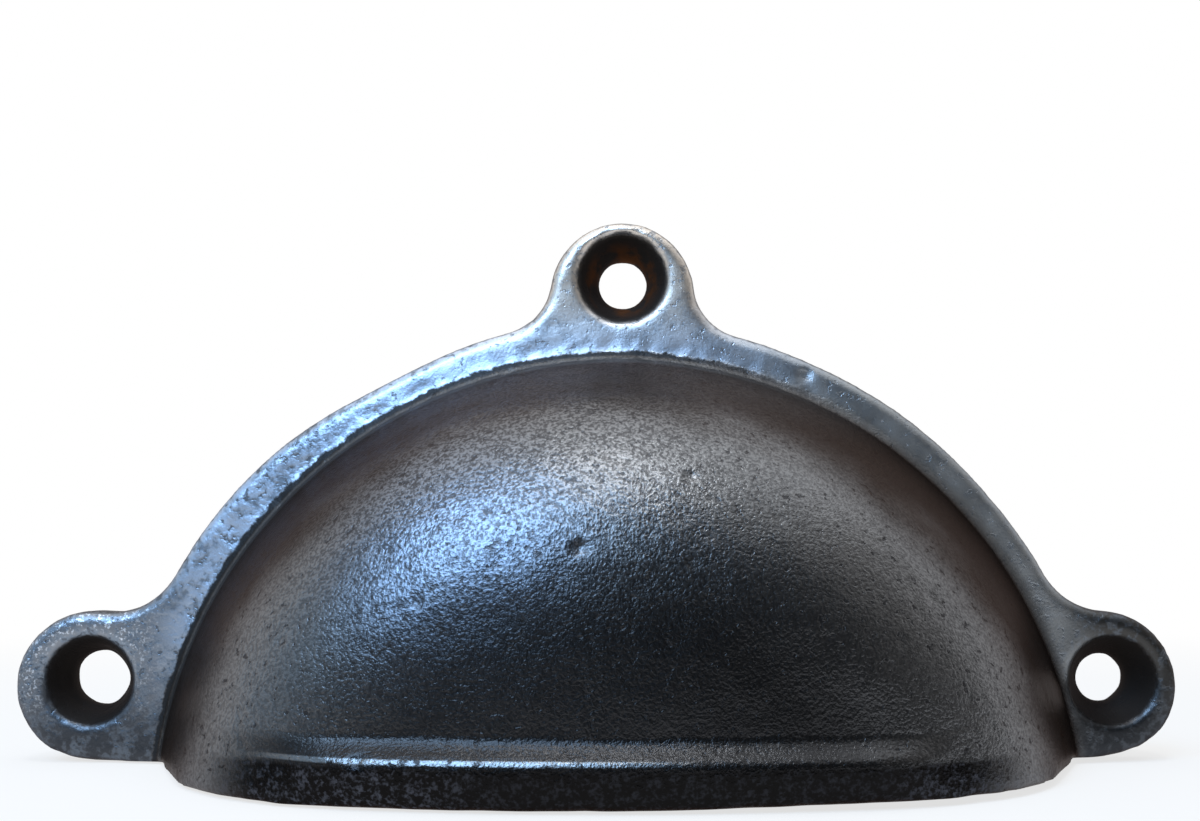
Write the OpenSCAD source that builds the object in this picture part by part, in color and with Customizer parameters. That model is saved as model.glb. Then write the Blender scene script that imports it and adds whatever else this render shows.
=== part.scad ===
// Cast-iron cup pull: a half-moon cup on a flat flange with three screw ears, poured as one piece.
// It stands as it is fixed: the back lies in the plane y = 0, the cup comes forward to -Y and opens down.
// The origin lies on the back, midway between the two side screw holes.

/* [Flange] */
// Thickness of the flange and the ears
flange_t = 4.8; // [3:0.1:8]
// Outer radius of the flange's round rim
rim_r = 43.5; // [42:0.1:45]
// Depth of the rim's centre, and of the cup's axis, below the side holes
axis_drop = 12.1; // [11:0.1:13]
// Depth of the mouth below the side holes
mouth_drop = 7.2; // [6.8:0.1:9]
// Rounding of the front edge of the flange and the ears
edge_r = 0.9; // [0.3:0.1:1.5]

/* [Ears] */
// Distance between the two side screw holes
hole_spacing = 89; // [84:0.5:94]
// Height of the top screw hole above the side holes
hole_rise = 35; // [33:0.5:38]
// Radius of the side ears
side_ear_r = 6.6; // [5.6:0.1:6.8]
// Radius of the top ear
top_ear_r = 6.3; // [5.6:0.1:7]
// Depth of the top ear's centre below its hole
top_ear_drop = 1.3; // [0:0.1:1.6]
// Hollow corner between a side ear and the rim
side_fillet_r = 6.5; // [3:0.1:9]
// Hollow corner between the top ear and the rim
top_fillet_r = 4.8; // [3:0.1:9]

/* [Screw holes] */
// Diameter of the screw holes
hole_d = 4.3; // [3:0.1:5]
// Diameter of the countersinks at the front
csk_d = 8.2; // [6:0.1:9]
// Depth of the countersinks
csk_depth = 3.4; // [1:0.1:4]

/* [Cup] */
// Radius of the cup's wall where it leaves the flange
base_r = 40.1; // [38:0.1:41]
// Height of the crown over the front of the flange
cup_rise = 22.5; // [18:0.1:26]
// Lean of the wall, as the casting was drawn from the sand
draft = 25; // [12:0.5:28]
// Radius of the turn from the wall to the crown
knuckle_r = 20; // [14:0.1:22]
// Radius of the flat crown
crown_r = 105; // [80:1:160]
// Thickness of the cup's wall
wall = 3; // [2:0.1:4]
// Hollow corner between the wall and the flange
crease_r = 1.2; // [0.5:0.1:1.8]

/* [Lip] */
// How far the lip stands out from the crown
lip_rise = 1.25; // [0.4:0.05:1.5]
// Height of the lip's face, from the mouth to its crest
lip_face = 3.5; // [2.5:0.1:5]
// Height of the sloping shoulder above the crest
lip_shoulder = 1.2; // [0.6:0.1:2.5]
// How far the belly of the lip's face stands out, halfway down to the mouth
lip_belly = 1.1; // [0.3:0.05:1.5]
// How far the foot of the lip's face still stands out, at the mouth
lip_toe = 0.5; // [0:0.05:0.8]
// Half the length of the lip's crest
lip_half = 24; // [16:0.5:25]
// Slope of the lip's ends, down into the cup
lip_end_slope = 45; // [42:1:55]

/* [Casting offsets] */
// How far the rim sits to the right of the side holes' middle
rim_shift = 0.8; // [-2:0.1:2]
// How far the cup sits to the right of the side holes' middle
cup_shift = 1.5; // [-2:0.1:2]
// How far the top ear and its hole sit to the right of the side holes' middle
top_shift = 1.9; // [-3:0.1:3]
// How far the right ear sits inward of its hole
right_ear_inset = 0.8; // [0:0.1:1.5]

/* [Hidden] */
$fn = 128;
// Overlap of joined solids, and run of cutters past the faces that they cut
lap = 1;
// Depth by which a smooth round runs into its neighbour, so that the two cross and don't merely touch
weld = 0.003;
// Height by which an edge's round breaks through the front face, so that the two meet at a slight angle
edge_lift = 0.02;
// Span of the block that takes away what lies below the mouth
clear = 4 * rim_r;

// Height of the centre of the front edge's round
edge_y = flange_t - edge_r + edge_lift;

// Screw holes and ears, from the back, as [x, height]
left_hole = [-hole_spacing / 2, 0];
right_hole = [hole_spacing / 2, 0];
top_hole = [top_shift, hole_rise];
side_ear_y = side_ear_r - mouth_drop;
left_ear = [-hole_spacing / 2, side_ear_y];
right_ear = [hole_spacing / 2 - right_ear_inset, side_ear_y];
top_ear = [top_shift, hole_rise - top_ear_drop];
rim_axis = [rim_shift, -axis_drop];
cup_axis = [cup_shift, -axis_drop];

// The cup's section: the knuckle's centre lies on one line with the crown's centre and the point where they meet
wall_out = [cos(draft), sin(draft)];
wall_up = [-sin(draft), cos(draft)];
crown_centre = [0, cup_rise - crown_r];
crown_to_knuckle = base_r * cos(draft) - knuckle_r - crown_centre[1] * sin(draft);
knuckle_slide = sqrt(pow(crown_r - knuckle_r, 2) - pow(crown_to_knuckle, 2));
knuckle_centre = crown_centre + crown_to_knuckle * wall_out + knuckle_slide * wall_up;
crown_end_dir = (knuckle_centre - crown_centre) / (crown_r - knuckle_r);
// Fall of the crown from its highest point to the height of the lip's crest
crest_y = axis_drop - mouth_drop + lip_face;
crest_fall = crown_r - sqrt(crown_r * crown_r - crest_y * crest_y);

// Where two circles of radius a and b round the points p and q cross, on the side that side names
function crossing(p, q, a, b, side) =
    let (d = norm(q - p), along = (d * d + a * a - b * b) / (2 * d), up = (q - p) / d)
    p + along * up + side * sqrt(a * a - along * along) * [-up[1], up[0]];

// Section of a disc or a bar, with its front edge rounded
module rounded_section(r) {
    square([r, edge_y]);
    square([r - edge_r, flange_t]);
    intersection() {
        translate([r - edge_r, edge_y]) circle(edge_r);
        square([r + lap, flange_t]);
    }
}

module disc(centre, r) {
    translate(centre) rotate_extrude() rounded_section(r);
}

// Web between an ear and the rim, with a hollow corner whose front edge is rounded like theirs
module web(ear, ear_r, fillet_r, side) {
    hollow = crossing(rim_axis, ear, rim_r + fillet_r, ear_r + fillet_r, side);
    cut_r = fillet_r + weld;
    difference() {
        linear_extrude(flange_t) polygon([rim_axis, ear, hollow]);
        translate(hollow) rotate_extrude() difference() {
            translate([0, -lap]) square([cut_r + edge_r, flange_t + 2 * lap]);
            translate([cut_r, -2 * lap]) square([edge_r + lap, edge_y + 2 * lap]);
            translate([cut_r + edge_r, edge_y]) circle(edge_r);
        }
    }
}

// Straight lower edge from a side ear to the cup, with its front edge rounded
module foot(ear) {
    start = min(rim_axis[0], ear[0]);
    translate([start, side_ear_y, 0]) rotate([90, 0, 90])
        linear_extrude(abs(rim_axis[0] - ear[0])) mirror([1, 0]) rounded_section(side_ear_r);
}

module flange() {
    disc(rim_axis, rim_r);
    disc(top_ear, top_ear_r);
    for (ear = [left_ear, right_ear]) {
        disc(ear, side_ear_r - weld);
        foot(ear);
    }
    for (side = [-1, 1]) web(top_ear, top_ear_r, top_fillet_r, side);
    web(left_ear, side_ear_r, side_fillet_r, -1);
    web(right_ear, side_ear_r, side_fillet_r, 1);
}

// Half section of the cup drawn in by inset, from depth below the flange's front up to the crown
module cup_section(inset, depth) {
    crown_end = crown_centre + (crown_r - inset) * crown_end_dir;
    wall_end = knuckle_centre + (knuckle_r - inset) * wall_out;
    wall_foot = [base_r - inset / cos(draft) + depth * tan(draft), -depth];
    polygon([[0, -depth], wall_foot, wall_end, crown_end, [0, crown_end[1]]]);
    intersection() {
        translate(crown_centre) circle(crown_r - inset);
        polygon([[0, 0], knuckle_centre, crown_end + lap * crown_end_dir, [0, cup_rise + lap]]);
    }
    intersection() {
        translate(knuckle_centre) circle(knuckle_r - inset + weld);
        translate([0, -depth]) square(clear);
    }
}

// Section of the hollow corner round the foot of the cup
module crease_section() {
    centre = [base_r + crease_r * (1 - sin(draft)) / cos(draft), crease_r];
    difference() {
        polygon([[base_r - lap, -lap], [centre[0], -lap], centre, centre - (crease_r + lap) * wall_out]);
        translate(centre) circle(crease_r + weld);
    }
}

module cup_body() {
    translate([cup_axis[0], cup_axis[1], flange_t]) rotate_extrude() {
        cup_section(0, lap);
        crease_section();
    }
}

module cup_hollow() {
    translate([cup_axis[0], cup_axis[1], flange_t]) rotate_extrude() cup_section(wall, flange_t + lap);
}

// Section of the lip, as [distance from the crown's centre, height over the mouth]
module lip_section() {
    root = wall / 2;
    shoulder_slope = lip_shoulder / lip_rise;
    face_lean = 2 * (lip_belly - lip_toe) / lip_face;
    translate([crown_r, 0])
        polygon([[-root, -lap], [lip_toe - lap * face_lean, -lap], [lip_belly, lip_face / 2],
                 [lip_rise, lip_face], [-root, lip_face + lip_shoulder + root * shoulder_slope]]);
}

// The lip follows the crown along the mouth, and its two ends slope down into the cup
module lip() {
    sweep = 1.5 * asin(lip_half / crown_r);
    crest_end = [lip_half, sqrt(pow(crown_r + lip_rise, 2) - lip_half * lip_half)];
    run = lip_half / 2;
    fall = run * tan(lip_end_slope);
    bevel = [crest_end + [-run, fall], crest_end + [run, -fall]];
    translate([cup_axis[0], -mouth_drop, flange_t + crown_centre[1] - crest_fall]) rotate([-90, 0, 0])
        intersection() {
            rotate([0, 0, -90 - sweep]) rotate_extrude(angle = 2 * sweep) lip_section();
            translate([0, 0, -2 * lap]) linear_extrude(lip_face + lip_shoulder + wall + 4 * lap) mirror([0, 1])
                polygon([bevel[0], bevel[1], [-bevel[1][0], bevel[1][1]], [-bevel[0][0], bevel[0][1]]]);
        }
}

module screw_hole(at) {
    translate([at[0], at[1], -lap]) cylinder(d = hole_d, h = flange_t + 2 * lap);
    translate([at[0], at[1], flange_t - csk_depth]) cylinder(d1 = hole_d, d2 = csk_d, h = csk_depth);
}

module cup_pull() {
    color("#2c2e31") rotate([90, 0, 0]) difference() {
        union() {
            flange();
            cup_body();
            lip();
        }
        cup_hollow();
        for (hole = [left_hole, right_hole, top_hole]) screw_hole(hole);
        translate([-clear / 2, -mouth_drop - clear, -lap]) cube([clear, clear, clear]);
    }
}

cup_pull();
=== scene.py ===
import math
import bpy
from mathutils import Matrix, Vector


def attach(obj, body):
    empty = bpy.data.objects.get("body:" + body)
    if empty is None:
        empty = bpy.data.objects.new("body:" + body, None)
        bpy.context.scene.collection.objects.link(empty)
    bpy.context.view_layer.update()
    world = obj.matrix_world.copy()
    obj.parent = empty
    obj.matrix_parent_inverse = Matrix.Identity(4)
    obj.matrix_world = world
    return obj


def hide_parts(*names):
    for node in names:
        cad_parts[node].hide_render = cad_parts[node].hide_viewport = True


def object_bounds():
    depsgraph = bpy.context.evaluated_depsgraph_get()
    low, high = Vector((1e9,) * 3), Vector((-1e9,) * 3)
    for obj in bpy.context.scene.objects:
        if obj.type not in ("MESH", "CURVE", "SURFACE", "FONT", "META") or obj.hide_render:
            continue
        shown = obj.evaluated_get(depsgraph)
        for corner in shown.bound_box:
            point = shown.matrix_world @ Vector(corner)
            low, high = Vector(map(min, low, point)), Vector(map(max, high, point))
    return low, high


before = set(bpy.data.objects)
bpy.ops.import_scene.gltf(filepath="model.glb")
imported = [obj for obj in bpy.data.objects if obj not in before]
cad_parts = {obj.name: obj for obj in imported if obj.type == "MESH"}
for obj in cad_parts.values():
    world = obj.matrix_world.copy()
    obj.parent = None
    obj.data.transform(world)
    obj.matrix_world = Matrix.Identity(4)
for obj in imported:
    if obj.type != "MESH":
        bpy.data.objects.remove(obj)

from types import SimpleNamespace

import bmesh
import bpy
import numpy as np
from mathutils import Vector, noise

cadLow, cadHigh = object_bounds()
print("frame loaded, box in mm:", [round(1000 * side, 2) for side in cadHigh - cadLow])

mm = 0.001

cupForm = {                        # the cup's section, in metres
    "axisX": 1.5 * mm,
    "axisZ": -12.1 * mm,
    "flangeFront": -4.8 * mm,
    "baseRadius": 40.1 * mm,
    "rise": 22.5 * mm,
    "draft": math.radians(25),
    "knuckle": 20 * mm,
    "crown": 105 * mm,
    "wall": 3 * mm,
    "lipCrest": -3.7 * mm,         # height of the lip's crest
}

screwHoles = {                     # axes as x and z
    "left": (-44.5 * mm, 0.0),
    "right": (44.5 * mm, 0.0),
    "top": (1.9 * mm, 35 * mm),
    "countersink": 4.1 * mm,       # radius at the front
}

castSkin = {
    "grain": 0.4 * mm,             # size of the remeshed faces
    "softFactor": 0.5,
    "softPasses": 8,
    "mergeGap": 0.001 * mm,
    "trueTolerance": 0.07 * mm,    # faceted points nearer than this go back on the true section
    "layers": (                    # waves, lumps and sand: size, depth, octaves and shift
        (11 * mm, 0.07 * mm, 2, (3.1, 0.4, 7.7)),
        (2.4 * mm, 0.032 * mm, 2, (0.3, 5.2, 1.9)),
        (0.9 * mm, 0.012 * mm, 1, (8.5, 2.2, 4.4)),
    ),
    "creaseSize": 1.3 * mm,
    "creaseShift": (1.7, 9.1, 2.6),
    "creaseDepth": 0.12 * mm,
    "creaseSpread": 0.9 * mm,
    "creaseOut": 0.6 * mm,         # its middle, outside the foot of the wall
    "creaseUp": 0.2 * mm,          # and in front of the flange
    "creaseLeast": 0.02,
    "creaseBias": 0.3,
    "creaseRight": 0.2,            # share of its depth that is left on the right
    "creaseFade": (24 * mm, 6 * mm),
    "pitCount": 240,
    "pitRadius": (0.35 * mm, 0.7 * mm),
    "pitDepth": (0.03 * mm, 0.12 * mm),
    "pitFloor": 0.15,              # flat middle of a pit, as a share of its radius
    "pitFacing": -0.25,            # pits lie where the normal's y is below this
    "pitClear": 0.5 * mm,          # and this far outside the cup's hollow
    "seed": 7,
    "mouthTop": -6.2 * mm,
    "mouthPasses": 10,
    "behindBack": -0.3 * mm,       # points past this y belong to the back
    "behindInner": 0.3 * mm,       # and points this near the hollow's wall to the inside
    "rimSide": (-0.35 * mm, -0.8 * mm),  # depth over which the front turns to the rim's side
}

plainMarks = [                     # the deeper marks: x, z, radius and depth
    (-12.6 * mm, 7.4 * mm, 0.6 * mm, 0.15 * mm),
    (-1.1 * mm, 11.2 * mm, 0.8 * mm, 0.26 * mm),
    (7.2 * mm, 16.6 * mm, 0.6 * mm, 0.15 * mm),
    (17.6 * mm, 26.4 * mm, 0.8 * mm, 0.28 * mm),
    (-16.4 * mm, -3.5 * mm, 0.7 * mm, 0.35 * mm),
    (-0.4 * mm, -6.9 * mm, 0.7 * mm, 0.25 * mm),
]

castFaults = {                     # where this casting departs from its pattern
    "rimX": 0.8 * mm,
    "flatAngle": math.radians(117.5),  # flat stretch of the rim, about its centre
    "flatSpread": math.radians(12),
    "flatDepth": 0.75 * mm,
    "flatReach": (41.2 * mm, 43.2 * mm),
    "mouthLift": 0.1 * mm,         # the mouth's edge, worn back
    "mouthTilt": 0.36 * mm,        # more of it on the right
    "mouthAcross": (-5 * mm, 25 * mm),
    "mouthBand": (-3 * mm, -7 * mm),
    "holeWiden": 0.25 * mm,        # the left hole
    "holeReach": (3.4 * mm, 2.3 * mm),
    "holeCorners": 0.15,
    "cornerCount": 5,
    "lipFull": 18 * mm,            # the lip fades from here
    "lipGone": 26 * mm,            # to here, along the mouth
    "lipFront": 12 * mm,           # the lip lies further forward than this
    "frontStart": 0.8 * mm,        # outside the foot of the wall
    "frontSlope": 0.12,            # fall of the flange's front towards the rim
    "frontRun": 2.6 * mm,
    "earSlope": 0.04,              # and on across the ears
    "earRun": 6 * mm,
}


def smoothStep(low, high, value):
    t = np.clip((value - low) / (high - low), 0, 1)
    return t * t * (3 - 2 * t)


def readVectors(items, name):
    values = np.zeros(len(items) * 3)
    items.foreach_get(name, values)
    return values.reshape(-1, 3)


def polar(points):                 # distance from the cup's axis, and depth in front of the flange
    away = np.hypot(points[:, 0] - cupForm["axisX"], points[:, 2] - cupForm["axisZ"])
    return away, cupForm["flangeFront"] - points[:, 1]


def sectionCentres():              # centres of the crown and the knuckle in the cup's section
    f = cupForm
    crownY = f["rise"] - f["crown"]
    reach = f["baseRadius"] * math.cos(f["draft"]) - f["knuckle"] - crownY * math.sin(f["draft"])
    slide = math.sqrt((f["crown"] - f["knuckle"]) ** 2 - reach ** 2)
    knuckle = (reach * math.cos(f["draft"]) - slide * math.sin(f["draft"]),
               crownY + reach * math.sin(f["draft"]) + slide * math.cos(f["draft"]))
    return crownY, knuckle


def sectionGap(points, inset):     # signed gap to the cup's section drawn in by inset, and the way out of it
    f = cupForm
    away, depth = polar(points)
    crownY, knuckle = sectionCentres()
    turn = np.arctan2(away - knuckle[0], depth - knuckle[1])
    crownTurn = math.atan2(knuckle[0], knuckle[1] - crownY)
    onCrown = turn < crownTurn
    onWall = turn > math.pi / 2 - f["draft"]
    crownFar = np.hypot(away, depth - crownY)
    knuckleFar = np.hypot(away - knuckle[0], depth - knuckle[1])
    wallGap = (away - f["baseRadius"]) * math.cos(f["draft"]) + depth * math.sin(f["draft"])
    turnGap = np.where(onWall, wallGap, knuckleFar - f["knuckle"])
    gap = np.where(onCrown, crownFar - f["crown"], turnGap) + inset
    outR = np.where(onCrown, away / crownFar, np.where(onWall, math.cos(f["draft"]), np.sin(turn)))
    turnD = np.where(onWall, math.sin(f["draft"]), np.cos(turn))
    outD = np.where(onCrown, (depth - crownY) / crownFar, turnD)
    ringX = (points[:, 0] - f["axisX"]) / np.maximum(away, 1e-9)
    ringZ = (points[:, 2] - f["axisZ"]) / np.maximum(away, 1e-9)
    return gap, np.stack([outR * ringX, -outD, outR * ringZ], axis=1)


def meltedCopy(node):              # a merged copy of the casting, fine enough to carry its skin
    bm = bmesh.new()
    bm.from_mesh(node.data)
    bmesh.ops.remove_doubles(bm, verts=bm.verts[:], dist=castSkin["mergeGap"])
    mesh = bpy.data.meshes.new("castPull")
    bm.to_mesh(mesh)
    bm.free()
    piece = bpy.data.objects.new("castPull", mesh)
    bpy.context.scene.collection.objects.link(piece)
    fine = piece.modifiers.new("fineSkin", "REMESH")
    fine.mode = "VOXEL"
    fine.voxel_size = castSkin["grain"]
    soft = piece.modifiers.new("softEdges", "SMOOTH")
    soft.factor = castSkin["softFactor"]
    soft.iterations = castSkin["softPasses"]
    graph = bpy.context.evaluated_depsgraph_get()
    piece.data = bpy.data.meshes.new_from_object(piece.evaluated_get(graph))
    piece.modifiers.clear()
    return piece


def fractalAt(points, size, octaves, shift):
    return np.array([noise.fractal(Vector(p) / size + Vector(shift), 1.0, 2.0, octaves) for p in points])


def addPit(offset, points, centre, radius, depth):
    near = np.linalg.norm(points - centre, axis=1)
    offset -= depth * smoothStep(radius, castSkin["pitFloor"] * radius, near)


def fadeLip(points, gap, outward):  # the lip sinks into the cup towards its ends
    depth = polar(points)[1]
    onLip = (gap > castSkin["trueTolerance"]) & (depth > castFaults["lipFront"])
    along = np.abs(points[:, 0] - cupForm["axisX"])
    sink = smoothStep(castFaults["lipFull"], castFaults["lipGone"], along) * gap * onLip
    points -= sink[:, None] * outward


def addFaults(points):             # the flat rim, the uneven mouth, the wide hole and the sloping flange
    f = castFaults
    away = polar(points)[0]
    sideX, sideZ = points[:, 0] - f["rimX"], points[:, 2] - cupForm["axisZ"]
    rimAway = np.hypot(sideX, sideZ)
    angle = np.arctan2(sideZ, sideX)
    flat = np.exp(-((angle - f["flatAngle"]) / f["flatSpread"]) ** 2)
    flat *= smoothStep(*f["flatReach"], rimAway)
    points[:, 0] -= f["flatDepth"] * flat * np.cos(angle)
    points[:, 2] -= f["flatDepth"] * flat * np.sin(angle)

    lift = f["mouthLift"] + f["mouthTilt"] * smoothStep(*f["mouthAcross"], points[:, 0])
    points[:, 2] += lift * smoothStep(*f["mouthBand"], points[:, 2])

    holeX, holeZ = points[:, 0] - screwHoles["left"][0], points[:, 2] - screwHoles["left"][1]
    turn = np.arctan2(holeZ, holeX)
    widen = f["holeWiden"] * smoothStep(*f["holeReach"], np.hypot(holeX, holeZ))
    widen *= 1 + f["holeCorners"] * np.cos(f["cornerCount"] * turn)
    points[:, 0] += widen * np.cos(turn)
    points[:, 2] += widen * np.sin(turn)

    past = away - cupForm["baseRadius"] - f["frontStart"]
    fall = f["frontSlope"] * np.clip(past, 0, f["frontRun"])
    fall += f["earSlope"] * np.clip(past - f["frontRun"], 0, f["earRun"])
    points[:, 1] *= 1 + fall / cupForm["flangeFront"]


def softenMouth(mesh):             # the mouth's edge, rubbed round by fingers
    bm = bmesh.new()
    bm.from_mesh(mesh)
    mouth = [v for v in bm.verts if v.co.z < castSkin["mouthTop"]]
    for _ in range(castSkin["mouthPasses"]):
        bmesh.ops.smooth_vert(bm, verts=mouth, factor=castSkin["softFactor"],
                              use_axis_x=True, use_axis_y=True, use_axis_z=True)
    bm.to_mesh(mesh)
    bm.free()


def roughenSkin(piece):            # waves, lumps, pits and a ragged crease, all as shape
    s = castSkin
    mesh = piece.data
    points = readVectors(mesh.vertices, "co")
    outerGap, outward = sectionGap(points, 0.0)
    innerGap, inward = sectionGap(points, cupForm["wall"])
    for gap, way in ((outerGap, outward), (innerGap, inward)):
        back = smoothStep(2 * s["trueTolerance"], s["trueTolerance"], np.abs(gap)) * gap
        points -= back[:, None] * way
    fadeLip(points, outerGap, outward)
    mesh.vertices.foreach_set("co", points.ravel())
    mesh.update()
    normals = readVectors(mesh.vertex_normals, "vector")

    away, depth = polar(points)
    creaseAway = np.hypot(away - cupForm["baseRadius"] - s["creaseOut"], depth - s["creaseUp"])
    crease = np.exp(-(creaseAway / s["creaseSpread"]) ** 2)
    offset = np.zeros(len(points))
    for size, layerDepth, octaves, shift in s["layers"]:
        offset += layerDepth * fractalAt(points, size, octaves, shift)
    near = crease > s["creaseLeast"]
    ragged = fractalAt(points[near], s["creaseSize"], 2, s["creaseShift"])
    fade = s["creaseRight"] + (1 - s["creaseRight"]) * smoothStep(*s["creaseFade"], points[:, 0])
    creaseDeep = s["creaseDepth"] * fade * crease
    offset[near] += creaseDeep[near] * (ragged - s["creaseBias"])
    draw = np.random.default_rng(s["seed"])
    front = np.flatnonzero((normals[:, 1] < s["pitFacing"]) & (innerGap > s["pitClear"]))
    for vertex in draw.choice(front, s["pitCount"]):
        share = draw.random() ** 2
        radius = s["pitRadius"][0] + share * (s["pitRadius"][1] - s["pitRadius"][0])
        pitDeep = s["pitDepth"][0] + draw.random() * share * (s["pitDepth"][1] - s["pitDepth"][0])
        addPit(offset, points, points[vertex], radius, pitDeep)
    for x, z, radius, markDeep in plainMarks:
        vertex = front[np.argmin(np.hypot(points[front, 0] - x, points[front, 2] - z))]
        addPit(offset, points, points[vertex], radius, markDeep)
    points += offset[:, None] * normals
    mesh.vertices.foreach_set("co", points.ravel())
    softenMouth(mesh)
    points = readVectors(mesh.vertices, "co")
    addFaults(points)
    points = np.clip(points, np.array(cadLow), np.array(cadHigh))
    mesh.vertices.foreach_set("co", points.ravel())
    mesh.update()
    return innerGap, depth


def setAttribute(mesh, name, values):
    layer = mesh.attributes.new(name, "FLOAT", "POINT")
    layer.data.foreach_set("value", values.astype(np.float32))


def markSkin(piece, innerGap, trueDepth):  # marks ridges, the rim's side, and what lies behind or inside
    mesh = piece.data
    points = readVectors(mesh.vertices, "co")
    normals = readVectors(mesh.vertex_normals, "vector")
    ends = np.zeros(len(mesh.edges) * 2, np.int64)
    mesh.edges.foreach_get("vertices", ends)
    a, b = ends.reshape(-1, 2).T
    line = points[b] - points[a]
    length = np.maximum(np.linalg.norm(line, axis=1), 1e-9)
    bend = np.zeros(len(points))
    count = np.zeros(len(points))
    np.add.at(bend, a, -np.einsum("ij,ij->i", line, normals[a]) / length)
    np.add.at(bend, b, np.einsum("ij,ij->i", line, normals[b]) / length)
    np.add.at(count, a, 1)
    np.add.at(count, b, 1)
    bend /= count
    spread = bend.copy()
    np.add.at(spread, a, bend[b])
    np.add.at(spread, b, bend[a])
    spread /= count + 1
    setAttribute(mesh, "ridge", spread)
    depth = polar(points)[1]
    onBack = points[:, 1] > castSkin["behindBack"]
    inCup = (np.abs(innerGap) < castSkin["behindInner"]) & (depth < cupForm["rise"])
    behind = np.maximum(onBack, inCup)
    setAttribute(mesh, "behind", behind.astype(float))
    setAttribute(mesh, "rimSide", smoothStep(*castSkin["rimSide"], trueDepth))


class Field:                       # one socket of a material, so that masks are written as plain maths
    def __init__(self, tree, socket=None):
        self.tree, self.socket = tree, socket

    def make(self, kind, settings=None, values=None, out=0):
        node = self.tree.nodes.new(kind)
        for name, value in (settings or {}).items():
            setattr(node, name, value)
        for name, value in (values or {}).items():
            if isinstance(value, Field):
                self.tree.links.new(value.socket, node.inputs[name])
            else:
                node.inputs[name].default_value = value
        return Field(self.tree, node.outputs[out] if node.outputs else None)

    def maths(self, operation, first, second=0.0):
        return self.make("ShaderNodeMath", {"operation": operation}, {0: first, 1: second})

    def __add__(self, other):
        return self.maths("ADD", self, other)

    def __sub__(self, other):
        return self.maths("SUBTRACT", self, other)

    def __rsub__(self, other):
        return self.maths("SUBTRACT", other, self)

    def __mul__(self, other):
        return self.maths("MULTIPLY", self, other)

    __radd__ = __add__
    __rmul__ = __mul__

    def least(self, other):
        return self.maths("MINIMUM", self, other)

    def most(self, other):
        return self.maths("MAXIMUM", self, other)

    def step(self, low, high):     # 0 at low, 1 at high, smooth between
        return self.make("ShaderNodeMapRange", {"interpolation_type": "SMOOTHSTEP"},
                         {"Value": self, "From Min": low, "From Max": high})

    def reach(self, other):        # length of two offsets
        return self.maths("SQRT", self * self + other * other)

    def blend(self, first, second):    # two colours, by this mask
        return self.make("ShaderNodeMix", {"data_type": "RGBA"}, {0: self, 6: first, 7: second}, 2)


def newMaterial(name):
    material = bpy.data.materials.new(name)
    material.use_nodes = True
    material.node_tree.nodes.clear()
    return material, Field(material.node_tree)


ironLook = {                       # colours are reflectances of the blackened metal, several with painted light and shade in them
    # flange: the metal's lighter finish, its strong blue tint painted reflection of the blue window lamp
    "flange": (0.482, 0.582, 0.736, 1),
    # painted shade: the flange darker on the right
    "flangeRightShade": (0.345, 0.364, 0.382, 1),
    # painted light: the flange's top lighter
    "flangeTopLight": (0.70, 0.64, 0.58, 1),
    "flangeDark": (0.227, 0.273, 0.336, 1),
    "flangePit": (0.109, 0.118, 0.136, 1),
    # painted shade: the flange darker at the bottom
    "flangeLowShade": (0.036, 0.039, 0.045, 1),
    # painted shade: the ears darker, the right one most
    "earLeftShade": (0.26, 0.28, 0.315, 1),
    # painted glints round the left ear's screw hole
    "earGlint": (0.72, 0.79, 0.89, 1),
    "earRightShade": (0.066, 0.064, 0.062, 1),
    # painted shade on the rim's side
    "side": (0.075, 0.078, 0.084, 1),
    "dome": (0.205, 0.209, 0.218, 1),
    "domeBlueReflection": (0.235, 0.275, 0.345, 1),   # painted reflection of the blue window lamp, upper left
    "domeDark": (0.0491, 0.0491, 0.0527, 1),
    # painted shade: the dome's low middle darker
    "domeLowShade": (0.0309, 0.0309, 0.0327, 1),
    "brown": (0.040, 0.030, 0.024, 1),
    "brownDark": (0.020, 0.015, 0.013, 1),
    # painted shade in the crease between flange and dome
    "crease": (0.0336, 0.0364, 0.0406, 1),
    # painted highlight on the dome's edge by the crease
    "edgeHighlight": (0.165, 0.173, 0.18, 1),
    # painted shade on the lip's face below the crest
    "lipFace": (0.009, 0.0085, 0.0085, 1),
    # painted glints on the lip's face, towards its ends
    "lipSparkle": (0.0576, 0.0624, 0.078, 1),
    # painted shade on the lip's shoulder, on the left
    "lipShoulderShade": (0.0327, 0.0318, 0.0327, 1),
    # painted shade in the countersinks
    "hole": (0.0286, 0.0234, 0.0208, 1),
    "rust": (0.128, 0.051, 0.021, 1),
    # lighter ridges, partly wear and partly painted glint, and the painted highlight on the lip's crest
    "wearAndGlint": (0.618, 0.673, 0.727, 1),
    "behind": (0.13, 0.122, 0.115, 1),
    "behindDark": (0.078, 0.071, 0.066, 1),
    "glancing": (0.54, 0.50, 0.49, 1),   # at flat angles the skin stays dull and brown
    "flangeRoughness": 0.40,
    "flangeRoughSpread": 0.2,
    "domeRoughness": 0.29,
    "brownRoughness": 0.42,
    "behindRoughness": 0.62,
    "pitRoughness": 0.06,          # added
    "holeRoughness": 0.7,
    "creaseRoughness": 0.6,
    "sideRoughness": 0.5,
    "grainHeight": 0.12 * mm,
    "grainStrength": 0.5,
}


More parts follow.
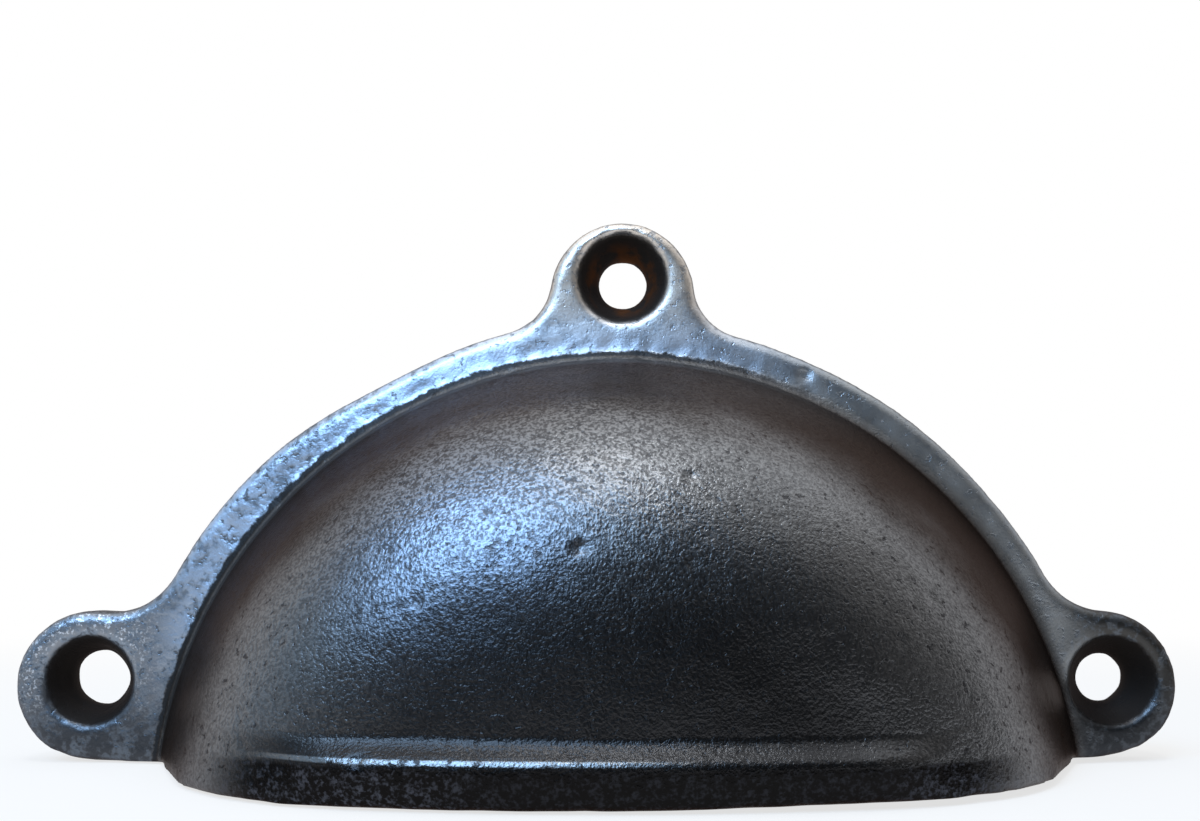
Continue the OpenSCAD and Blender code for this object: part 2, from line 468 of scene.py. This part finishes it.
def skinFields(field):             # places and clouds that the metal's masks are made from
    place = field.make("ShaderNodeTexCoord", out="Object")
    split = field.make("ShaderNodeSeparateXYZ", None, {0: place}).socket.node
    x, y, z = (Field(field.tree, split.outputs[i]) for i in range(3))

    def cloud(size, detail, rough, shift):
        moved = field.make("ShaderNodeMapping", None, {"Vector": place, "Location": shift})
        return field.make("ShaderNodeTexNoise", None,
                          {"Vector": moved, "Scale": 1 / size, "Detail": detail, "Roughness": rough})

    def attribute(name):
        return field.make("ShaderNodeAttribute", {"attribute_name": name}, out="Fac")

    return SimpleNamespace(
        x=x, z=z, ridge=attribute("ridge"), behind=attribute("behind"), rimSide=attribute("rimSide"),
        away=(x - cupForm["axisX"]).reach(z - cupForm["axisZ"]),
        depth=cupForm["flangeFront"] - y,
        broad=cloud(9 * mm, 3.0, 0.55, (1.3, 0.2, 0.7)),
        mottle=cloud(2.2 * mm, 3.0, 0.55, (0.1, 2.1, 0.4)),
        grain=cloud(0.25 * mm, 2.0, 0.55, (4.1, 0.3, 1.2)),
        specks=cloud(0.6 * mm, 2.0, 0.55, (2.2, 1.1, 5.0)),
        jag=cloud(1.1 * mm, 3.0, 0.65, (0.6, 3.3, 2.8)))


def holeFields(skin):              # distance from the nearest screw hole's axis, and from the top one's
    def holeAt(name):
        holeX, holeZ = screwHoles[name]
        return (skin.x - holeX).reach(skin.z - holeZ)

    top = holeAt("top")
    return holeAt("left").least(holeAt("right")).least(top), top


ironZones = {                      # where a finish or a painted light or shade begins and where it is full
    "leftSide": (24 * mm, 6 * mm),           # x
    "sharpRim": (40.45 * mm, 40.75 * mm),    # distance from the cup's axis
    "softRim": (39.7 * mm, 41.2 * mm),
    "flangeFront": (1.2 * mm, 0.5 * mm),     # depth in front of the flange
    "wall": (31.5 * mm, 37.0 * mm),
    "wallFoot": (2.2 * mm, 1.2 * mm),
    "wallTopLight": (19 * mm, 25 * mm),           # height
    "wallRightShade": (20 * mm, 34 * mm),
    "crease": (40.0 * mm, 40.3 * mm),
    "edgeLineIn": (39.3 * mm, 39.6 * mm),
    "edgeLineOut": (39.9 * mm, 40.2 * mm),
    "cupOutside": (8 * mm, 14 * mm),
    "lipFace": (0, -0.6 * mm),               # height over the lip's crest
    "lipFaceEnds": (33 * mm, 26 * mm),
    "lipShoulderShade": (2.3 * mm, 1.0 * mm),
    "lipShoulderShadeAcross": (14 * mm, -6 * mm),
    "lipShoulderShadeEnds": (33 * mm, 24 * mm),
    "sparkleLeft": (-2 * mm, -16 * mm),
    "sparkleRight": (18 * mm, 27 * mm),
    "crestRight": (9 * mm, -2 * mm),
    "crestLeft": (-26 * mm, -21 * mm),
    "flangeLowShade": (3 * mm, -6 * mm),
    "patchyLeft": (4 * mm, -30 * mm),        # the flange is smoother on the right
    "flangeTopLight": (26 * mm, 35 * mm),
    "flangeRightShade": (6 * mm, 22 * mm),
    "earLeftShade": (-34 * mm, -40 * mm),
    "earRightShade": (38 * mm, 44 * mm),
    "topEar": (25 * mm, 30 * mm),
    "sparkRing": (4.1 * mm, 4.7 * mm),       # distance from a screw hole's axis
    "sparkAcross": (-37 * mm, -42 * mm),
    "sparkUp": (-5 * mm, -1 * mm),
    "highlightSpot": (24 * mm, 9 * mm),             # distance from its middle
    "bluish": (13 * mm, 3 * mm),
    "lowMiddle": (18 * mm, 5 * mm),
    "lowMiddleAcross": (31 * mm, 17 * mm),
    "countersinkShade": (0, -0.35 * mm),                 # past the edge of a countersink
    "rust": (3.6 * mm, 2.6 * mm),
    "bumpLeft": (0, -25 * mm),
}

ironPlaces = {                     # middles, offsets and how far edges wander
    "highlightSpot": (-5 * mm, 13 * mm),
    "bluish": (-10 * mm, 10 * mm),
    "edgeWander": 0.9 * mm,
    "fineWander": 0.3,             # share of it, along the crease and the lip
    "wallWander": 5 * mm,
    "countersinkShadeWander": 0.5 * mm,
    "crestLift": 0.1 * mm,
    "crestHalf": (0.24 * mm, 0.08 * mm),
}

ironClouds = {                     # clouds mixed by weight, then cut between two levels
    "pits": ({"specks": 1}, (0.40, 0.31)),
    "patches": ({"specks": 0.55, "mottle": 0.45}, (0.55, 0.40)),
    "topEarDark": ({"specks": 0.6, "grain": 0.4}, (0.46, 0.36)),
    "earGlint": ({"specks": 0.4, "grain": 0.6}, (0.53, 0.63)),
    "clumps": ({"grain": 0.78, "specks": 0.22}, (0.60, 0.41)),
    "brownDark": ({"grain": 1}, (0.62, 0.40)),
    "crestBreaks": ({"jag": 1}, (0.36, 0.46)),
    "sparkle": ({"specks": 0.5, "grain": 0.5}, (0.46, 0.66)),
    "unworn": ({"broad": 0.5, "mottle": 0.5, "grain": 0.2}, (0.48, 0.72)),
    "rust": ({"mottle": 1}, (0.42, 0.60)),
}

ironShares = {                     # how strongly each finish or painted light or shade covers the one below it
    "crease": (0.1, 0.8),          # everywhere, and more on the left
    "patchy": (0.30, 0.65),
    "topEarDark": 0.5,
    "flangePit": 0.7,
    "flangeLowShade": (0.9, 0.35),      # less in the patches
    "clumps": (0.45, 0.35),        # more where the dome's highlight falls
    "domePit": 0.9,
    "domeLowShade": 0.93,
    "brownDark": 0.7,
    "wall": (0.95, 0.2),           # less at the top, where light is painted
    "wallRightShade": 0.6,
    "edgeHighlight": 0.6,
    "side": 0.9,
    "wearAndGlintGrain": 0.25,
    "wearAndGlintRidge": (0.16, 0.42),
    "crestLine": 0.6,
    "lipShoulderShade": 0.9,
    "lipFace": 0.97,
    "sparkleLeast": 0.25,
    "wearAndGlint": 0.5,
    "hole": 0.9,
    "rust": 0.8,
    "bumpFlange": 0.7,
    "bumpWall": 0.25,
    "bumpPit": 0.3,
}


def zone(value, name):
    return value.step(*ironZones[name])


def cloudMask(skin, name):
    weights, levels = ironClouds[name]
    parts = [getattr(skin, cloud) * weight for cloud, weight in weights.items()]
    return sum(parts[1:], parts[0]).step(*levels)


def nearSpot(skin, name):          # a round zone about its middle
    spotX, spotZ = ironPlaces[name]
    return zone((skin.x - spotX).reach(skin.z - spotZ), name)


def castingZones(skin):            # flange, wall, crease and lip
    edgeShift = (skin.jag - 0.5) * ironPlaces["edgeWander"]
    fineShift = edgeShift * ironPlaces["fineWander"]
    leftSide = zone(skin.x, "leftSide")
    sharpRim = zone(skin.away + edgeShift, "sharpRim") * leftSide
    onFlange = sharpRim + zone(skin.away, "softRim") * (1 - leftSide)
    onFlange = onFlange * zone(skin.depth, "flangeFront")
    wallAway = skin.away + (skin.broad - 0.5) * ironPlaces["wallWander"]
    wall = zone(wallAway, "wall") * (1 - onFlange)
    wallFoot = zone(skin.depth, "wallFoot") * (1 - onFlange) * (1 - skin.behind)
    creaseLeast, creaseLeft = ironShares["crease"]
    # painted shade in the crease, more on the left
    crease = zone(skin.away + fineShift, "crease") * wallFoot * (creaseLeast + leftSide * creaseLeft)
    # painted highlight: a thin line on the dome's edge by the crease, on the left
    edgeHighlight = (zone(skin.away, "edgeLineIn") - zone(skin.away, "edgeLineOut")) * leftSide
    outside = zone(skin.depth, "cupOutside")
    overCrest = skin.z - cupForm["lipCrest"]
    # the lip's face below the crest, where shade is painted
    lipFace = zone(overCrest + fineShift, "lipFace") * outside * zone(skin.away, "lipFaceEnds")
    # painted shade on the lip's shoulder, on the left
    lipShoulderShade = zone(overCrest, "lipShoulderShade") * outside * zone(skin.x, "lipShoulderShadeAcross")
    lipShoulderShade = lipShoulderShade * zone(skin.away, "lipShoulderShadeEnds")
    return SimpleNamespace(onFlange=onFlange, wall=wall, crease=crease, edgeHighlight=edgeHighlight, outside=outside,
                           overCrest=overCrest, lipFace=lipFace, lipShoulderShade=lipShoulderShade,
                           pits=cloudMask(skin, "pits"))


def flangeFinishAndLight(skin, parts, nearHole):   # thin blackening, patchy on the left, with painted light at the top, painted shade on the right, the ears and the bottom, and painted glints by the left ear's hole
    look, share = ironLook, ironShares
    patches = cloudMask(skin, "patches")
    patchyLeast, patchyLeft = share["patchy"]
    patchy = patchyLeast + zone(skin.x, "patchyLeft") * patchyLeft
    # painted light: the flange lighter towards the top
    colour = zone(skin.z, "flangeTopLight").blend(look["flange"], look["flangeTopLight"])
    # painted shade: the flange's right and both ears darker
    for name in ("flangeRightShade", "earLeftShade", "earRightShade"):
        colour = zone(skin.x, name).blend(colour, look[name])
    colour = (patches * patchy).blend(colour, look["flangeDark"])
    topEarDark = zone(skin.z, "topEar") * cloudMask(skin, "topEarDark")
    colour = (topEarDark * share["topEarDark"]).blend(colour, look["flangeDark"])
    colour = (parts.pits * patchy * share["flangePit"]).blend(colour, look["flangePit"])
    # painted glints round the left ear's screw hole
    earEdge = zone(nearHole, "sparkRing") * zone(skin.x, "sparkAcross") * zone(skin.z, "sparkUp")
    colour = (earEdge * cloudMask(skin, "earGlint")).blend(colour, look["earGlint"])
    # painted shade: the flange darker towards the bottom, less in the patches
    lowShare, lowPatches = share["flangeLowShade"]
    low = zone(skin.z, "flangeLowShade") * (lowShare - patches * lowPatches)
    return low.blend(colour, look["flangeLowShade"])


def cupFinishAndLight(skin, parts):        # deep on the dome, brown down its wall, with a painted blue reflection, painted sparkle, painted shade low in the middle and on the wall's right, painted light at the wall's top and a painted highlight by the crease
    look, share = ironLook, ironShares
    clumpLeast, clumpHighlight = share["clumps"]
    # dark grain specks everywhere, denser where the dome's highlight falls as painted sparkle
    clumps = cloudMask(skin, "clumps") * (clumpLeast + nearSpot(skin, "highlightSpot") * clumpHighlight)
    # painted reflection: the dome bluer and lighter where the blue window light is mirrored
    colour = nearSpot(skin, "bluish").blend(look["dome"], look["domeBlueReflection"])
    colour = clumps.most(parts.pits * share["domePit"]).blend(colour, look["domeDark"])
    # painted shade: the dome darker low in the middle
    lowMiddle = zone(skin.z, "lowMiddle") * zone(skin.away, "lowMiddleAcross")
    colour = (lowMiddle * share["domeLowShade"]).blend(colour, look["domeLowShade"])
    brown = (cloudMask(skin, "brownDark") * share["brownDark"]).blend(look["brown"], look["brownDark"])
    # painted light: less brown at the wall's top, so it shows lighter
    wallShare, wallTopLight = share["wall"]
    colour = (parts.wall * (wallShare - zone(skin.z, "wallTopLight") * wallTopLight)).blend(colour, brown)
    # painted shade: the wall darker on the right
    wallRightShade = parts.wall * zone(skin.x, "wallRightShade")
    colour = (wallRightShade * share["wallRightShade"]).blend(colour, look["brownDark"])
    # painted highlight on the dome's edge by the crease
    return (parts.edgeHighlight * share["edgeHighlight"]).blend(colour, look["edgeHighlight"])


def lipWearAndLight(skin, parts, colour):    # lighter ridges, partly wear and partly painted glint, a painted highlight along the lip's crest, painted shade on the lip's shoulder and the face below it, and painted glints at the face's ends
    look, share = ironLook, ironShares
    # lighter ridges, partly wear and partly painted glint
    ridge = skin.ridge + (skin.grain - 0.5) * share["wearAndGlintGrain"]
    wearAndGlint = ridge.step(*share["wearAndGlintRidge"]) * (1 - parts.onFlange) * (1 - skin.rimSide)
    crestGap = parts.overCrest - ironPlaces["crestLift"]
    crestFar, crestNear = ironPlaces["crestHalf"]
    # painted highlight along the lip's crest, on its left half
    crestLine = (crestGap * crestGap).step(crestFar ** 2, crestNear ** 2) * parts.outside
    crestLine = crestLine * zone(skin.x, "crestRight") * zone(skin.x, "crestLeft")
    wearAndGlint = wearAndGlint.most(crestLine * cloudMask(skin, "crestBreaks") * share["crestLine"])
    # painted shade on the lip's shoulder, on the left
    colour = (parts.lipShoulderShade * share["lipShoulderShade"]).blend(colour, look["lipShoulderShade"])
    # painted shade on the lip's face below the crest
    colour = (parts.lipFace * share["lipFace"]).blend(colour, look["lipFace"])
    # painted glints on the lip's face, towards its ends
    faceEnds = zone(skin.x, "sparkleLeft").most(zone(skin.x, "sparkleRight")).most(share["sparkleLeast"])
    sparkle = cloudMask(skin, "sparkle") * parts.lipFace * faceEnds
    colour = sparkle.blend(colour, look["lipSparkle"])
    return (wearAndGlint * share["wearAndGlint"]).blend(colour, look["wearAndGlint"])


def ironRoughness(skin, parts, inHole):
    look = ironLook
    dome = look["domeRoughness"] + parts.pits * look["pitRoughness"]
    flange = look["flangeRoughness"] + (skin.mottle - 0.5) * look["flangeRoughSpread"]
    rough = dome * (1 - parts.wall) + parts.wall * look["brownRoughness"]
    rough = rough * (1 - parts.onFlange) + flange * parts.onFlange
    rough = rough * (1 - skin.behind) + skin.behind * look["behindRoughness"]
    rough = rough.most(inHole * look["holeRoughness"]).most(parts.crease * look["creaseRoughness"])
    return rough.most(skin.rimSide * look["sideRoughness"])


def grainBump(field, skin, parts):
    look, share = ironLook, ironShares
    height = skin.grain * (1 - parts.onFlange * share["bumpFlange"]) * (1 - parts.wall * share["bumpWall"])
    height = height - parts.pits * share["bumpPit"]
    height = (height + skin.specks * parts.onFlange * zone(skin.x, "bumpLeft")) * look["grainHeight"]
    return field.make("ShaderNodeBump", None,
                      {"Height": height, "Distance": 1.0, "Strength": look["grainStrength"]})


def blackenedIron():
    material, field = newMaterial("blackenedIron")
    look, share = ironLook, ironShares
    skin = skinFields(field)
    nearHole, nearTop = holeFields(skin)
    parts = castingZones(skin)
    colour = parts.onFlange.blend(cupFinishAndLight(skin, parts), flangeFinishAndLight(skin, parts, nearHole))
    # painted shade along the crease between flange and dome
    colour = parts.crease.blend(colour, look["crease"])
    # painted shade on the rim's side
    colour = (skin.rimSide * share["side"]).blend(colour, look["side"])
    colour = lipWearAndLight(skin, parts, colour)
    unworn = cloudMask(skin, "unworn").blend(look["behindDark"], look["behind"])
    colour = skin.behind.blend(colour, unworn)

    # the screw holes: painted shade in the countersinks, a little rust in the top one
    pastEdge = nearHole - screwHoles["countersink"] + (skin.jag - 0.5) * ironPlaces["countersinkShadeWander"]
    inHole = zone(pastEdge, "countersinkShade") * (1 - skin.behind)
    colour = (inHole * share["hole"]).blend(colour, look["hole"])
    rust = zone(nearTop, "rust") * cloudMask(skin, "rust")
    colour = (rust * share["rust"]).blend(colour, look["rust"])

    shader = field.make("ShaderNodeBsdfPrincipled", None, {
        "Base Color": colour, "Roughness": ironRoughness(skin, parts, inHole), "Metallic": 1.0,
        "Normal": grainBump(field, skin, parts), "Specular Tint": look["glancing"]})
    field.make("ShaderNodeOutputMaterial", None, {"Surface": shader})
    return material


stageLook = {
    "floorSize": 3.0,
    "floorColour": (0.86, 0.86, 0.86, 1),
    "floorLift": 0.72,             # how far the floor is brought to white for the eye
    "floorFade": (0.03, 0.25),     # and fully white, over this distance
    "backdrop": 1.0,               # behind the pull
    "room": 0.05,                  # on the camera's side
    "ambient": 0.2,
    "wallTurn": (-0.25, 0.25),     # from the room to the backdrop, as y of a ray
}


def rayKinds(field):               # camera, glossy and transmission rays
    camera = field.make("ShaderNodeLightPath", out="Is Camera Ray")
    outs = camera.socket.node.outputs
    return camera, Field(field.tree, outs["Is Glossy Ray"]), Field(field.tree, outs["Is Transmission Ray"])


def paleFloor():
    bm = bmesh.new()
    bmesh.ops.create_grid(bm, x_segments=1, y_segments=1, size=stageLook["floorSize"] / 2)
    bmesh.ops.translate(bm, verts=bm.verts[:], vec=(0, 0, cadLow.z))
    mesh = bpy.data.meshes.new("paleFloor")
    bm.to_mesh(mesh)
    bm.free()
    floor = bpy.data.objects.new("paleFloor", mesh)
    bpy.context.scene.collection.objects.link(floor)
    material, field = newMaterial("paleFloor")
    card = field.make("ShaderNodeBsdfDiffuse", None, {"Color": stageLook["floorColour"]})
    white = field.make("ShaderNodeEmission", None, {"Color": (1, 1, 1, 1), "Strength": 1.0})
    place = field.make("ShaderNodeTexCoord", out="Object")
    far = field.make("ShaderNodeVectorMath", {"operation": "LENGTH"}, {0: place}, "Value")
    far = far.step(*stageLook["floorFade"])
    camera, glossy, through = rayKinds(field)
    seen = camera.most(glossy).most(through)
    lift = stageLook["floorLift"] + far * (1 - stageLook["floorLift"])
    lit = field.make("ShaderNodeMixShader", None, {0: seen * lift, 1: card, 2: white})
    under = field.make("ShaderNodeNewGeometry", out="Backfacing")
    clear = field.make("ShaderNodeBsdfTransparent")
    sheet = field.make("ShaderNodeMixShader", None, {0: under, 1: lit, 2: clear})
    field.make("ShaderNodeOutputMaterial", None, {"Surface": sheet})
    mesh.materials.append(material)


def paleRoom():                    # the metal mirrors a white wall behind the pull and a dark room before it
    world = bpy.data.worlds.new("paleRoom")
    world.use_nodes = True
    world.node_tree.nodes.clear()
    bpy.context.scene.world = world
    field = Field(world.node_tree)
    way = field.make("ShaderNodeTexCoord", out="Generated")
    split = field.make("ShaderNodeSeparateXYZ", None, {0: way}, 1)
    wall = split.step(*stageLook["wallTurn"])
    shown = stageLook["room"] + wall * (stageLook["backdrop"] - stageLook["room"])
    camera, glossy, through = rayKinds(field)
    white = camera.most(through)
    other = (1 - white) * (1 - glossy)
    strength = white * stageLook["backdrop"] + glossy * shown + other * stageLook["ambient"]
    light = field.make("ShaderNodeBackground", None, {"Color": (1, 1, 1, 1), "Strength": strength})
    field.make("ShaderNodeOutputWorld", None, {"Surface": light})


lamps = {                          # azimuth counts to the right, and radiance is before the colour
    "window": {"azimuth": -31, "elevation": 43, "distance": 0.7, "size": (0.37, 0.37), "radiance": 8.8,
               "colour": (0.46, 0.70, 1.0)},
    "overhead": {"azimuth": -2, "elevation": 72, "distance": 0.7, "size": (0.12, 0.10), "radiance": 23.1,
                 "colour": (0.96, 0.99, 1.0)},
    "skylight": {"azimuth": -20, "elevation": 88, "distance": 0.7, "size": (1.1, 0.80), "radiance": 0.825,
                 "colour": (0.95, 0.98, 1.0)},
    "leftFill": {"azimuth": -72, "elevation": 22, "distance": 0.7, "size": (0.50, 0.45), "radiance": 0.66,
                 "colour": (0.60, 0.80, 1.0)},
    "rightFill": {"azimuth": 68, "elevation": 36, "distance": 0.7, "size": (0.50, 0.50), "radiance": 0.275,
                  "colour": (1.0, 0.96, 0.92)},
}


def addLamps():
    target = (cadLow + cadHigh) / 2
    for name, s in lamps.items():
        a, e = math.radians(s["azimuth"]), math.radians(s["elevation"])
        away = Vector((math.sin(a) * math.cos(e), -math.cos(a) * math.cos(e), math.sin(e)))
        light = bpy.data.lights.new(name, "AREA")
        light.shape = "RECTANGLE"
        light.size, light.size_y = s["size"]
        light.color = s["colour"]
        light.energy = s["radiance"] * math.pi * s["size"][0] * s["size"][1]
        lamp = bpy.data.objects.new(name, light)
        lamp.location = target + away * s["distance"]
        lamp.rotation_euler = away.to_track_quat("Z", "Y").to_euler()
        bpy.context.scene.collection.objects.link(lamp)


cameraSetting = {                  # found from the photograph, an image of 1200 by 821
    "imageWidth": 1200,
    "imageHeight": 821,
    "foot": (630, 560),            # pixel that the camera looks at squarely
    "focalPixels": 1295,
    "place": (2.57 * mm, -116.8 * mm, 10.47 * mm),
    "sensor": 36,
    "clipStart": 5 * mm,
}


def addCamera():
    s = cameraSetting
    data = bpy.data.cameras.new("photoCamera")
    data.sensor_width = s["sensor"]
    data.lens = s["sensor"] * s["focalPixels"] / s["imageWidth"]
    data.shift_x = (s["imageWidth"] / 2 - s["foot"][0]) / s["imageWidth"]
    data.shift_y = (s["foot"][1] - s["imageHeight"] / 2) / s["imageWidth"]
    data.clip_start = s["clipStart"]
    camera = bpy.data.objects.new("photoCamera", data)
    camera.location = s["place"]
    camera.rotation_euler = (math.pi / 2, 0, 0)
    bpy.context.scene.collection.objects.link(camera)
    bpy.context.scene.camera = camera


pull = meltedCopy(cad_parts["cup_pull"])
innerGap, trueDepth = roughenSkin(pull)
markSkin(pull, innerGap, trueDepth)
pull.data.materials.clear()
pull.data.materials.append(blackenedIron())
pull.data.shade_smooth()
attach(pull, "root")
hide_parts("cup_pull")
print("cast pull:", len(pull.data.vertices), "points,", len(pull.data.polygons), "faces")

paleFloor()
paleRoom()
addLamps()
addCamera()
bpy.context.scene.view_settings.view_transform = "Standard"
print("stage, lamps and camera set")
